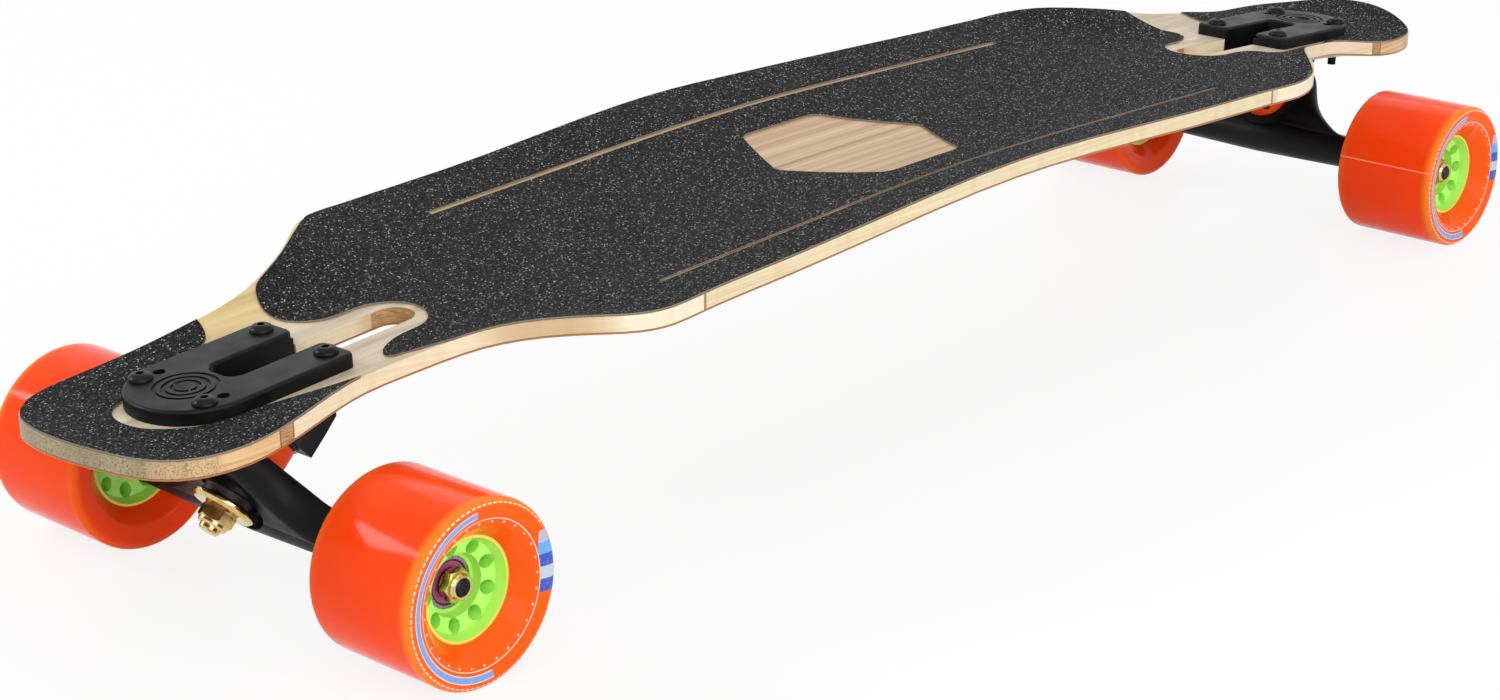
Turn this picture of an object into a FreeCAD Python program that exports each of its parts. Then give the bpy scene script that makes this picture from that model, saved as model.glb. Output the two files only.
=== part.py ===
import FreeCAD, Part
import math
import os

import Sketcher
from FreeCAD import Placement, Rotation, Vector

# Longboard skateboard with drop-through, reverse-kingpin trucks.
# X runs along the board with the nose at -X, Y across it, Z up, origin on the ground under its middle.
# Everything is modelled at the tail (+X) and the left (+Y), then mirrored.

SIZES = {
    # Deck
    "deck_length": 967.2,
    "core_thick": 7.0,
    "laminate_thick": 0.8,
    "grip_thick": 0.8,
    "bond_gap": 0.15,
    "mid_half": 106.0,
    "nose_fullness": 1.9,
    "kick_rise": 8.4,
    "rail_mid": 0.224,
    "rail_low": 0.146,
    "rail_flare": 0.42,
    "rail_pad": 0.053,
    "dish_half": 10.0,
    "dish_blend": 70.0,
    "pad_half": 30.5,
    "pad_blend": 12.0,
    # Stations of the deck, measured in from its tip, and its half widths there
    "nose_in": 45.9,
    "nose_half": 56.5,
    "waist_in": 108.6,
    "waist_half": 52.8,
    "neck_in": 152.6,
    "neck_half": 60.2,
    "taper_in": 184.6,
    "taper_half": 77.4,
    "shear_in": 213.1,
    "shear_half": 100.0,
    "shoulder_in": 227.6,
    "shoulder_half": 106.2,
    "wide_in": 255.6,
    "wide_half": 107.5,
    "side_in": 333.6,
    "side_half": 106.9,
    # Where its camber and its dish change, measured in from its tip
    "kick_in": 42.6,
    "rail_pad_in": 65.9,
    "rail_fall_in": 121.6,
    "camber_in": 138.6,
    "rail_flare_in": 153.6,
    "rail_turn_in": 238.6,
    "rail_low_in": 303.6,
    # Grip plan
    "grip_inset": 0.5,
    "plate_gap": 0.8,
    "patch_across": 96.0,
    "patch_corner": 9.0,
    "stripe_y": 74.0,
    "stripe_in": 268.6,
    "stripe_width": 3.4,
    # Drop-through cut-out
    "slot_width": 19.0,
    "slot_reach": 96.3,
    "well_width": 30.0,
    "well_clear": 1.0,
    # Truck placing
    "truck_in": 92.3,
    "plate_tilt": 3.9,
    "truck_angle": 50.0,
    "ring_x": 1.3,
    "ring_depth": 47.6,
    "axle_reach": 18.5,
    "axle_rake": 7.0,
    # Baseplate
    "bolt_pitch": 63.5,
    "old_bolt_pitch": 54.0,
    "bolt_gauge": 41.3,
    "plate_half": 30.0,
    "plate_thick": 6.5,
    "prong_overhang": 8.1,
    "plate_round_x": 19.7,
    "prong_corner": 4.0,
    "plate_edge": 1.6,
    "groove_x": 25.0,
    "groove_count": 3,
    "groove_first": 4.6,
    "groove_pitch": 3.8,
    "groove_width": 1.7,
    "groove_deep": 0.6,
    "fork_width": 18.6,
    "fork_end_x": 8.3,
    "fork_corner": 6.0,
    "fork_floor": 11.0,
    "cheek_width": 28.0,
    "cheek_in_x": 39.0,
    "cheek_out_x": 20.0,
    "cheek_tail": 6.0,
    "seat_radius": 15.0,
    "seat_wall": 12.0,
    "socket_radius": 12.5,
    "socket_mouth": 34.0,
    "socket_floor": 1.0,
    # Kingpin stack
    "kingpin_dia": 9.5,
    "kingpin_af": 14.3,
    "kingpin_head": 6.0,
    "kingpin_nut_thick": 6.2,
    "kingpin_nut_collar": 2.0,
    "kingpin_spare": 2.5,
    "kingpin_chamfer": 1.0,
    "ring_web": 6.0,
    "board_bushing": 15.0,
    "board_bushing_dia": 27.0,
    "road_bushing": 14.0,
    "road_bushing_dia": 26.0,
    "road_bushing_tip": 21.0,
    "bushing_straight": 4.8,
    "bushing_chamfer": 1.0,
    "flat_washer_thick": 1.5,
    "washer_dia": 28.6,
    "cup_thick": 1.4,
    "cup_lip": 1.9,
    "cup_round": 0.9,
    # Hanger
    "hanger_width": 180.0,
    "arm_mid_radius": 10.3,
    "arm_end_radius": 9.0,
    "arm_straight": 26.0,
    "arm_chamfer": 1.0,
    "ring_radius": 18.4,
    "ring_hole": 15.0,
    "board_seat_dia": 28.0,
    "board_seat_deep": 4.0,
    "road_seat_dia": 27.0,
    "cup_room_dia": 36.0,
    "cup_room_deep": 8.6,
    "pivot_radius": 6.0,
    "pivot_reach": 43.0,
    "pivot_clear": 0.25,
    "cup_wall": 2.6,
    # Axle and bearings
    "axle_dia": 8.0,
    "axle_spare": 0.8,
    "axle_chamfer": 0.8,
    "axle_af": 12.7,
    "axle_nut_thick": 5.0,
    "axle_nut_collar": 2.0,
    "speed_ring_thick": 1.0,
    "bearing_dia": 22.0,
    "bearing_width": 7.0,
    "spacer_length": 10.0,
    "ball_dia": 3.9,
    "ball_count": 7,
    "ball_circle": 15.0,
    "ball_gap": 0.15,
    "shield_thick": 0.4,
    "shield_inset": 0.3,
    "shield_gap": 0.3,
    # Wheel
    "wheel_dia": 80.0,
    "wheel_width": 59.5,
    "wheel_set": 2.4,
    "lip_radius": 3.2,
    "lip_flat": 1.0,
    "face_drop": 1.6,
    "face_half": 29.0,
    "face_round": 4.0,
    "core_dia": 45.0,
    "core_inset": 9.5,
    "core_rim": 1.2,
    "web_radius": 19.4,
    "web_inner": 13.4,
    "web_drop": 4.6,
    "web_fall": 1.8,
    "hub_radius": 12.6,
    "ridge_radius": 9.9,
    "core_holes": 9,
    "core_hole_dia": 6.2,
    "core_hole_circle": 33.0,
    # Mounting hardware
    "bolt_dia": 4.8,
    "bolt_head_dia": 10.6,
    "bolt_head_thick": 2.9,
    "bolt_length": 25.0,
    "bolt_hole_dia": 5.4,
    "hex_key": 3.2,
    "hex_key_deep": 1.9,
    "bolt_nut_af": 9.5,
    "bolt_nut_thick": 4.6,
    "nut_chamfer": 0.9,
    # Fits
    "seat_gap": 0.05,
}

doc = FreeCAD.newDocument("longboard")
sheet = doc.addObject("Spreadsheet::Sheet", "Dims")
for row, (alias, number) in enumerate(SIZES.items(), start=1):
    sheet.set(f"A{row}", alias)
    sheet.set(f"B{row}", str(number))
    sheet.setAlias(f"B{row}", alias)
doc.recompute()

nodes = []

UP = Vector(0, 0, 1)
DOWN = Vector(0, 0, -1)
ACROSS = Vector(0, 1, 0)
ALONG = Vector(1, 0, 0)
# Heights of cutting shapes: through the whole board, and through one truck.
SKY = "10 * Dims.wheel_dia"
DEEP = "2 * Dims.wheel_dia"
# Two places nearer than this are the same.
TOUCH = 1e-4


def dim(alias):
    """The number in one named cell."""
    return float(getattr(sheet, alias))


def value(formula):
    """The number that a formula of cells gives."""
    return float(sheet.evalExpression(formula))


def bind(thing, formulas):
    """Ties properties of an object to formulas of cells."""
    for prop, formula in formulas.items():
        thing.setExpression(prop, formula)
    return thing


def node(thing, name):
    """Makes an object one of the named sub-parts."""
    thing.Label = name
    nodes.append(thing)
    return thing


def primitive(kind, frame, formulas):
    """A Part primitive whose sizes follow the sheet."""
    thing = bind(doc.addObject(f"Part::{kind}", kind.lower()), formulas)
    thing.Placement = frame
    return thing


def box(frame, length, width, height):
    """A block centred on its frame in Y, running from it along +X and +Z."""
    centred = frame * Placement(Vector(0, -value(width) / 2, 0), Rotation())
    return primitive("Box", centred, {"Length": length, "Width": width, "Height": height})


def rod(frame, radius, height):
    """A cylinder along +Z of its frame."""
    return primitive("Cylinder", frame, {"Radius": radius, "Height": height})


def joined(*things):
    """Several objects fused."""
    thing = doc.addObject("Part::MultiFuse", "fuse")
    thing.Shapes = list(things)
    return thing


def cut(base, *tools):
    """An object with one or more others taken away."""
    thing = doc.addObject("Part::Cut", "cut")
    thing.Base = base
    thing.Tool = tools[0] if len(tools) == 1 else joined(*tools)
    return thing


def overlap(*things):
    """What several objects have in common."""
    thing = doc.addObject("Part::MultiCommon", "common")
    thing.Shapes = list(things)
    return thing


def mirrored(thing, normal):
    """A mirror image across a plane through the origin."""
    twin = doc.addObject("Part::Mirroring", "mirror")
    twin.Source = thing
    twin.Normal = normal
    return twin


def group(things):
    """Separate solids that share one node."""
    bundle = doc.addObject("Part::Compound", "group")
    bundle.Links = list(things)
    return bundle


def left_and_right(thing):
    """An object and its mirror image across the board's centre plane."""
    return [thing, mirrored(thing, ACROSS)]


def drawn(shape, name):
    """A drawn wire, face or surface that a feature is made from."""
    thing = doc.addObject("Part::Feature", name)
    thing.Shape = shape
    return thing


def extruded(base, direction, length):
    """A face or outline drawn out along a direction."""
    thing = doc.addObject("Part::Extrusion", "extrusion")
    thing.Base = base
    thing.DirMode = "Custom"
    thing.Dir = direction
    thing.Solid = True
    return bind(thing, {"LengthFwd": length})


def pin_vertex(sketch, geometry, formulas):
    """Holds the first point of a line at the place that two formulas give."""
    kinds = (("DistanceX", -2), ("DistanceY", -1))
    for (kind, axis), formula in zip(kinds, formulas):
        place = value(formula)
        if abs(place) < TOUCH:
            sketch.addConstraint(Sketcher.Constraint("PointOnObject", geometry, 1, axis))
            continue
        ends = (-1, 1, geometry, 1) if place > 0 else (geometry, 1, -1, 1)
        index = sketch.addConstraint(Sketcher.Constraint(kind, *ends, abs(place)))
        sketch.setExpression(f"Constraints[{index}]", formula if place > 0 else f"-({formula})")


def turned(profile, frame):
    """A body turned about its Z axis from a profile of (radius, height) formulas."""
    body = doc.addObject("PartDesign::Body", "turned")
    sketch = body.newObject("Sketcher::SketchObject", "profile")
    plane = next(f for f in body.Origin.OriginFeatures if f.Role == "XZ_Plane")
    sketch.AttachmentSupport = [(plane, "")]
    sketch.MapMode = "FlatFace"
    corners = [Vector(value(radius), value(height), 0) for radius, height in profile]
    count = len(corners)
    for index, corner in enumerate(corners):
        sketch.addGeometry(Part.LineSegment(corner, corners[(index + 1) % count]), False)
    for index in range(count):
        sketch.addConstraint(Sketcher.Constraint("Coincident", index, 2, (index + 1) % count, 1))
    for index, formulas in enumerate(profile):
        pin_vertex(sketch, index, formulas)
    lathe = body.newObject("PartDesign::Revolution", "lathe")
    lathe.Profile = sketch
    lathe.ReferenceAxis = (sketch, ["V_Axis"])
    lathe.Angle = 360
    body.Placement = frame
    return body


def softened(thing, radius, choose):
    """An object with the edges that choose picks out rounded off."""
    doc.recompute()
    picked = [index for index, edge in enumerate(thing.Shape.Edges, start=1) if choose(edge)]
    soft = doc.addObject("Part::Fillet", "soft")
    soft.Base = thing
    soft.Edges = [(index, dim(radius), dim(radius)) for index in picked]
    return soft


def runs_along(edge, direction):
    """Whether an edge is straight and runs in a direction."""
    if not isinstance(edge.Curve, Part.Line):
        return False
    return abs(edge.tangentAt(edge.FirstParameter).dot(direction)) > 1 - TOUCH


def hexagon(frame, across_flats, height):
    """A six-sided prism along +Z of its frame."""
    return primitive("Prism", frame, {"Circumradius": f"{across_flats} / sqrt(3)", "Height": height})


def hex_nut(frame, across_flats, thick, bore):
    """A nut with both ends chamfered, standing on its frame."""
    point = f"{across_flats} / sqrt(3)"
    profile = [
        (bore, "0"),
        (f"{across_flats} / 2", "0"),
        (point, "Dims.nut_chamfer"),
        (point, f"{thick} - Dims.nut_chamfer"),
        (f"{across_flats} / 2", thick),
        (bore, thick),
    ]
    return overlap(hexagon(frame, across_flats, thick), turned(profile, frame))


def lock_nut(frame, across_flats, thick, collar, bore):
    """A nut with a round collar on its far end."""
    wide = f"{across_flats} / 2 - Dims.nut_chamfer / 2"
    top = f"{thick} + {collar}"
    profile = [
        (bore, f"{thick} - Dims.nut_chamfer"),
        (wide, f"{thick} - Dims.nut_chamfer"),
        (wide, f"{top} - Dims.nut_chamfer"),
        (f"{wide} - Dims.nut_chamfer", top),
        (bore, top),
    ]
    return joined(hex_nut(frame, across_flats, thick, bore), turned(profile, frame))


def tube(frame, inner, outer, height):
    """A plain ring or sleeve along +Z of its frame."""
    profile = [(inner, "0"), (outer, "0"), (outer, height), (inner, height)]
    return turned(profile, frame)


def shifted(frame, x=0.0, y=0.0, z=0.0):
    """A frame moved along its own axes."""
    return frame * Placement(Vector(x, y, z), Rotation())


def station(name):
    """How far from the board's middle a station of its tail end is."""
    return dim("deck_length") / 2 - dim(f"{name}_in")


# Frames of the rear truck

def rotated_offset(point, angle):
    """A point of the XZ plane turned about Y."""
    return Rotation(ACROSS, angle).multVec(point)


STEER_TURN = Rotation(ACROSS, -dim("truck_angle"))
ring_local = Vector(dim("ring_x"), 0, -dim("ring_depth"))
axle_local = ring_local + STEER_TURN.multVec(Vector(-dim("axle_reach"), 0, -dim("axle_rake")))
axle_drop = rotated_offset(axle_local, dim("plate_tilt"))
plate_x = station("truck")
plate_z = dim("wheel_dia") / 2 - axle_drop.z

# Middle of the baseplate's top: X outboard along the plate, Z square to it.
PLATE = Placement(Vector(plate_x, 0, plate_z), Rotation(ACROSS, dim("plate_tilt")))
# Ring centre: X up the steering axis to the pivot, Z along the kingpin to the board.
STEER = PLATE * Placement(ring_local, STEER_TURN)
# The same place with Z along the kingpin to its nut.
ROAD = STEER * Placement(Vector(), Rotation(ALONG, 180))
# Middle of the axle, Z along it to the left wheel.
AXLE = Placement(PLATE.multVec(axle_local), Rotation(ALONG, -90))
AXLE_LEFT = shifted(AXLE, z=dim("hanger_width") / 2)


def plate_point(steer_x, steer_z):
    """A point of the steering frame, seen in the baseplate's frame."""
    return ring_local + STEER_TURN.multVec(Vector(steer_x, 0, steer_z))


def along_pivot(distance):
    """Frame on the steering axis whose Z points at the pivot."""
    return shifted(STEER, x=distance) * Placement(Vector(), Rotation(ACROSS, 90))


# Deck surface

def smooth(low, high, x):
    """A soft step from 0 at low to 1 at high."""
    part = min(max((x - low) / (high - low), 0.0), 1.0)
    return part * part * (3 - 2 * part)


def pad_height(x):
    """Height of the flat truck pad, as if it ran on for ever."""
    pad = PLATE.multVec(Vector(0, 0, -dim("plate_thick") - dim("seat_gap")))
    return pad.z - math.tan(math.radians(dim("plate_tilt"))) * (x - pad.x)


def spine_height(x):
    """Height of the deck's centre line: an arch that runs into the pads, and upturned tips."""
    arch_end = station("camber")
    if x < arch_end:
        slope = math.tan(math.radians(dim("plate_tilt")))
        return pad_height(arch_end) + slope * (arch_end ** 2 - x ** 2) / (2 * arch_end)
    lift = max(0.0, x - station("kick")) / dim("kick_in")
    return pad_height(x) + dim("kick_rise") * lift ** 2


def rail_slope(x):
    """How steeply the deck's sides rise at a station along it."""
    slope = dim("rail_mid")
    slope += (dim("rail_low") - dim("rail_mid")) * smooth(0, station("rail_low"), x)
    slope += (dim("rail_flare") - dim("rail_low")) * smooth(station("rail_turn"), station("rail_flare"), x)
    slope += (dim("rail_pad") - dim("rail_flare")) * smooth(station("rail_fall"), station("rail_pad"), x)
    return slope


def deck_height(x, y):
    """Height of the deck's top: a dished middle with flat pads under the trucks."""
    x = abs(x)
    pad = smooth(station("wide"), station("rail_flare"), x)
    flat = dim("dish_half") + (dim("pad_half") - dim("dish_half")) * pad
    blend = dim("dish_blend") + (dim("pad_blend") - dim("dish_blend")) * pad
    out = max(0.0, abs(y) - flat)
    rise = out * out / (2 * blend) if out < blend else out - blend / 2
    return spine_height(x) + rail_slope(x) * rise


def mirrored_outline(quarter):
    """A closed outline from a quarter that runs from the Y axis to the X axis."""
    right = quarter + [(x, -y) for x, y in reversed(quarter[:-1])]
    left = [(-x, -y) for x, y in right[1:-1]]
    return right + left


def spaced(points):
    """The distances along a string of points, from its start."""
    marks = [0.0]
    for (x0, y0), (x1, y1) in zip(points, points[1:]):
        marks.append(marks[-1] + math.hypot(x1 - x0, y1 - y0))
    return marks


def closed_curve(points):
    """A smooth closed curve through points of the ground plane."""
    curve = Part.BSplineCurve()
    knots = [Vector(x, y, 0) for x, y in points]
    curve.interpolate(Points=knots, PeriodicFlag=True, Parameters=spaced(points + points[:1]))
    return Part.Face(Part.Wire(curve.toShape()))


def bounded_by(line, corners):
    """A face between a smooth line through points and straight runs round the given corners."""
    curve = Part.BSplineCurve()
    curve.interpolate(Points=[Vector(x, y, 0) for x, y in line], Parameters=spaced(line))
    rest = Part.makePolygon([Vector(x, y, 0) for x, y in line[-1:] + corners + line[:1]])
    return Part.Face(Part.Wire([curve.toShape()] + rest.Edges))


# Turns round the tip, in degrees, at which its outline has a point.
TIP_TURNS = (25, 45, 65)


def deck_quarter(inset=0.0):
    """A quarter of the deck's plan, from the middle of its side to its tip."""
    names = ("side", "wide", "shoulder", "shear", "taper", "neck", "waist", "nose")
    quarter = [(0.0, dim("mid_half") - inset)]
    quarter += [(station(name), dim(f"{name}_half") - inset) for name in names]
    reach = dim("nose_in") - inset
    power = 2 / dim("nose_fullness")
    for turn in TIP_TURNS:
        along = math.sin(math.radians(turn)) ** power
        across = math.cos(math.radians(turn)) ** power
        quarter.append((station("nose") + reach * along, (dim("nose_half") - inset) * across))
    quarter.append((station("nose") + reach, 0.0))
    return quarter


# Points of the deck's surface along and across it.
SKIN_COLUMNS = 40
SKIN_ROWS = 20


def deck_skin():
    """The deck's top surface, a little wider than the deck."""
    reach = dim("deck_length") / 2 + dim("core_thick")
    side = dim("wide_half") + dim("core_thick")
    grid = []
    for column in range(SKIN_COLUMNS + 1):
        x = reach * (2 * column / SKIN_COLUMNS - 1)
        line = [side * (2 * row / SKIN_ROWS - 1) for row in range(SKIN_ROWS + 1)]
        grid.append([Vector(x, y, deck_height(x, y)) for y in line])
    surface = Part.BSplineSurface()
    surface.interpolate(grid)
    return drawn(surface.toShape(), "deck_skin")


def deck_openings():
    """The slot, the truck's well and the bolt holes of the rear truck."""
    slot_frame = shifted(Placement(), x=plate_x - dim("slot_reach") + dim("slot_width") / 2)
    slot = box(slot_frame, "Dims.slot_reach - Dims.cheek_in_x", "Dims.slot_width", SKY)
    slot_round = rod(slot_frame, "Dims.slot_width / 2", SKY)
    well_in = -dim("cheek_in_x") - dim("well_clear")
    socket_out = plate_point(socket_end(), -dim("socket_radius")).x + dim("well_clear")
    low = -dim("wheel_dia")
    well = box(shifted(PLATE, x=well_in, z=low), f"{socket_out - well_in}", "Dims.well_width", DEEP)
    holes = []
    for sign in (-1, 1):
        spot = shifted(PLATE, x=sign * dim("bolt_pitch") / 2, y=dim("bolt_gauge") / 2, z=low)
        holes += left_and_right(rod(spot, "Dims.bolt_hole_dia / 2", DEEP))
    return joined(slot, slot_round, well, *holes)


def socket_end():
    """How far up the steering axis the pivot cup's floor is."""
    tip = dim("pivot_reach") + dim("pivot_radius") + dim("pivot_clear")
    return tip + dim("cup_wall")


def make_deck():
    skin = deck_skin()
    plan = extruded(drawn(closed_curve(mirrored_outline(deck_quarter())), "deck_plan"), UP, SKY)
    rear = deck_openings()
    blank = cut(plan, rear, mirrored(rear, ALONG))
    core_slab = extruded(skin, DOWN, "Dims.core_thick")
    node(overlap(core_slab, blank), "deck_core")
    base_slab = extruded(skin, DOWN, "Dims.laminate_thick")
    bind(base_slab, {".Placement.Base.z": "-Dims.core_thick - Dims.bond_gap"})
    node(overlap(base_slab, blank), "deck_base")
    make_grip(skin)


# Edges of the grip round the front truck, as (distance inboard of the plate's middle, Y), both in half
# widths of the plate.
BAY_LINE = (
    (4.55, 3.66), (4.20, 3.41), (3.84, 3.14), (3.28, 2.69), (2.74, 2.31), (2.24, 2.05),
    (1.97, 1.90), (1.81, 1.68), (1.72, 1.37), (1.80, 1.08), (2.03, 0.75), (2.42, 0.62),
    (2.80, 0.61), (3.13, 0.45), (3.33, 0.07), (3.18, -0.43), (2.90, -0.64), (2.47, -0.68),
    (2.08, -0.79), (1.83, -0.98), (1.78, -1.15), (1.93, -1.30), (2.10, -1.57), (2.20, -2.33),
)
NOSE_LINE = (
    (0.75, 2.07), (0.73, 1.63), (0.60, 1.37), (0.27, 1.22), (-0.83, 0.73), (-1.55, 0.62),
    (-1.82, 0.30), (-1.87, 0.00), (-1.80, -0.32), (-1.57, -0.63), (-1.23, -0.89), (-0.67, -1.00),
    (-0.06, -1.12), (0.38, -1.28), (0.62, -1.48), (0.76, -1.74), (0.84, -1.98),
)


def grip_line(line, sign):
    """A grip edge at the nose (sign 1), or turned half round to the tail (sign -1)."""
    unit = dim("plate_half")
    return [(sign * (inboard * unit - plate_x), sign * y * unit) for inboard, y in line]


def beside(line, sign, far_x):
    """The ground on one side of a grip line, out to far_x and past both of the deck's sides."""
    side = sign * dim("deck_length")
    start = line[0][0]
    end = line[-1][0]
    corners = [(end, -side), (far_x, -side), (far_x, side), (start, side)]
    return extruded(drawn(bounded_by(line, corners), "grip_edge"), UP, SKY)


def plate_room():
    """What the rear baseplate needs left open in the grip."""
    low = shifted(PLATE, z=-dim("wheel_dia"))
    reach = dim("bolt_pitch") / 2 + dim("prong_overhang") + dim("plate_gap")
    half = "Dims.plate_half + Dims.plate_gap"
    block = box(shifted(low, x=-reach), f"{reach} + Dims.plate_round_x", f"2 * ({half})", DEEP)
    return joined(block, rod(shifted(low, x=dim("plate_round_x")), half, DEEP))


def bare_patch():
    """The six-sided prism, with rounded corners, that bares the deck's middle."""
    prism = hexagon(Placement(), "Dims.patch_across", SKY)
    return softened(prism, "patch_corner", lambda edge: runs_along(edge, UP))


def make_grip(skin):
    """Nose, tail and main pieces of grip, the main one with a bare patch and two bare stripes."""
    plan = drawn(closed_curve(mirrored_outline(deck_quarter(dim("grip_inset")))), "grip_plan")
    slab = bind(extruded(skin, UP, "Dims.grip_thick"), {".Placement.Base.z": "Dims.bond_gap"})
    sheet_all = overlap(slab, extruded(plan, UP, SKY))
    tail_room = plate_room()
    rooms = {"nose": mirrored(tail_room, ALONG), "tail": tail_room}
    bays = []
    for name, sign in (("nose", 1), ("tail", -1)):
        tip = beside(grip_line(NOSE_LINE, sign), sign, -sign * dim("deck_length"))
        node(cut(overlap(sheet_all, tip), rooms[name]), f"grip_{name}")
        bays.append(beside(grip_line(BAY_LINE, sign), sign, 0))
    start = Vector(-station("stripe"), dim("stripe_y"), 0)
    stripe = box(Placement(start, Rotation()), f"2 * {station('stripe')}", "Dims.stripe_width", SKY)
    main = overlap(sheet_all, joined(*bays))
    node(cut(main, bare_patch(), *left_and_right(stripe)), "grip_main")


# Truck

def make_baseplate():
    """The plate with its round end and two prongs, the kingpin seat below it and the pivot's socket."""
    head_z = board_stack() + dim("seat_wall")
    fork = make_fork(head_z)
    boss = rod(shifted(STEER, z=board_stack()), "Dims.seat_radius", "Dims.seat_wall")
    reach = f"{socket_end()} + Dims.socket_floor - Dims.socket_mouth"
    socket = rod(along_pivot(dim("socket_mouth")), "Dims.socket_radius", reach)
    below = cut(joined(make_cheeks(head_z), boss, socket), fork)
    kingpin_hole = rod(STEER, "Dims.kingpin_dia / 2 + Dims.seat_gap", f"{head_z} + Dims.kingpin_head")
    cup_start = along_pivot(dim("socket_mouth") - dim("cup_wall"))
    cup_deep = f"{socket_end()} + Dims.cup_wall - Dims.socket_mouth"
    cup_bore = rod(cup_start, f"{cup_radius()} + Dims.seat_gap", cup_deep)
    holes = []
    outer = dim("bolt_pitch") / 2
    for x in (-outer, outer, dim("old_bolt_pitch") - outer):
        spot = shifted(PLATE, x=x, y=dim("bolt_gauge") / 2, z=-dim("wheel_dia"))
        holes += left_and_right(rod(spot, "Dims.bolt_hole_dia / 2", DEEP))
    return cut(joined(make_plate(fork), below), kingpin_hole, cup_bore, *holes)


def make_plate(fork):
    """The flat plate on the deck, its prong corners and its top edge rounded."""
    inboard = -dim("bolt_pitch") / 2 - dim("prong_overhang")
    low = shifted(PLATE, z=-dim("plate_thick"))
    middle = shifted(low, x=dim("plate_round_x"))
    start = shifted(low, x=inboard)
    square = box(start, f"Dims.plate_round_x - ({inboard})", "2 * Dims.plate_half", "Dims.plate_thick")
    blank = cut(joined(square, rod(middle, "Dims.plate_half", "Dims.plate_thick")), fork)
    square_to = PLATE.Rotation.multVec(UP)
    seen = PLATE.inverse()

    def is_prong_corner(edge):
        near = [abs(seen.multVec(vertex.Point).x - inboard) < TOUCH for vertex in edge.Vertexes]
        return runs_along(edge, square_to) and all(near)

    def is_top(edge):
        return all(abs(seen.multVec(point).z) < TOUCH for point in edge.discretize(3))

    rounded = softened(softened(blank, "prong_corner", is_prong_corner), "plate_edge", is_top)
    return cut(rounded, *plate_grooves())


def plate_grooves():
    """Shallow rings turned into the top of the plate's round end."""
    floor = shifted(PLATE, x=dim("groove_x"), z=-dim("groove_deep"))
    grooves = []
    for index in range(int(dim("groove_count"))):
        inner = f"Dims.groove_first + {index} * Dims.groove_pitch"
        grooves.append(tube(floor, inner, f"{inner} + Dims.groove_width", "2 * Dims.groove_deep"))
    return grooves


def make_cheeks(head_z):
    """The block under the plate that carries the kingpin's seat and the pivot's socket."""
    radius = dim("seat_radius")
    tail = plate_point(-radius, head_z)
    inside = -dim("plate_thick") / 2
    profile = [
        Vector(-dim("cheek_in_x"), 0, inside),
        Vector(dim("cheek_out_x"), 0, inside),
        plate_point(dim("socket_mouth"), dim("socket_radius")),
        plate_point(radius, board_stack()),
        plate_point(-radius, board_stack()),
        tail,
        Vector(-dim("cheek_in_x"), 0, tail.z + dim("cheek_tail")),
    ]
    return extruded(drawn(side_face(profile, dim("cheek_width")), "cheeks"), ACROSS, "Dims.cheek_width")


def make_fork(head_z):
    """The room between the prongs, down to the kingpin's head."""
    end = dim("fork_end_x")
    floor = -dim("fork_floor")
    above = dim("plate_thick")
    open_x = -2 * dim("cheek_in_x")
    low = plate_point(-2 * dim("seat_radius"), head_z)
    profile = [
        Vector(open_x, 0, above),
        Vector(end, 0, above),
        Vector(end, 0, floor),
        level_point(head_z, floor),
        low,
        Vector(open_x, 0, low.z),
    ]
    block = extruded(drawn(side_face(profile, dim("fork_width")), "fork"), ACROSS, "Dims.fork_width")
    square_to = PLATE.Rotation.multVec(UP)
    seen = PLATE.inverse()

    def is_closed_end(edge):
        near = [abs(seen.multVec(vertex.Point).x - end) < TOUCH for vertex in edge.Vertexes]
        return runs_along(edge, square_to) and all(near)

    return softened(block, "fork_corner", is_closed_end)


def side_face(points, width):
    """A face in the baseplate's XZ plane, moved half its width to the right."""
    shift = Vector(0, -width / 2, 0)
    corners = [PLATE.multVec(point + shift) for point in points]
    return Part.Face(Part.makePolygon(corners + corners[:1]))


def level_point(steer_z, height):
    """Where a plane square to the kingpin meets a height of the baseplate's frame."""
    start = plate_point(0, steer_z)
    rise = math.tan(math.radians(dim("truck_angle")))
    return Vector(start.x + (height - start.z) / rise, 0, height)


def cup_radius():
    """Outer radius of the pivot cup."""
    return dim("pivot_radius") + dim("pivot_clear") + dim("cup_wall")


def board_stack():
    """Height of the baseplate's bushing seat above the ring centre."""
    return dim("ring_web") / 2 + dim("board_bushing") + dim("flat_washer_thick")


def make_pivot_cup():
    hole = "Dims.pivot_radius + Dims.pivot_clear"
    deep = f"{socket_end()} - Dims.cup_wall - Dims.socket_mouth"
    wall = f"{hole} + Dims.cup_wall"
    floor = f"{socket_end()} - Dims.socket_mouth"
    profile = [(hole, "0"), (wall, "0"), (wall, floor), ("0", floor), ("0", deep), (hole, deep)]
    return turned(profile, along_pivot(dim("socket_mouth")))


def make_kingpin():
    head_z = board_stack() + dim("seat_wall")
    radius = "Dims.kingpin_dia / 2"
    nut = "Dims.kingpin_nut_thick + Dims.kingpin_nut_collar"
    length = f"{head_z} + {road_stack()} + {nut} + Dims.kingpin_spare"
    bevel = "Dims.kingpin_chamfer"
    profile = [
        ("0", "0"),
        (radius, "0"),
        (radius, f"{length} - {bevel}"),
        (f"{radius} - {bevel}", length),
        ("0", length),
    ]
    shank = turned(profile, shifted(ROAD, z=-head_z))
    head = hexagon(shifted(STEER, z=head_z), "Dims.kingpin_af", "Dims.kingpin_head")
    return joined(shank, head)


def road_stack():
    """Distance from the ring centre to the kingpin nut's seat."""
    return dim("ring_web") / 2 + dim("road_bushing") + dim("cup_thick")


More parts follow.
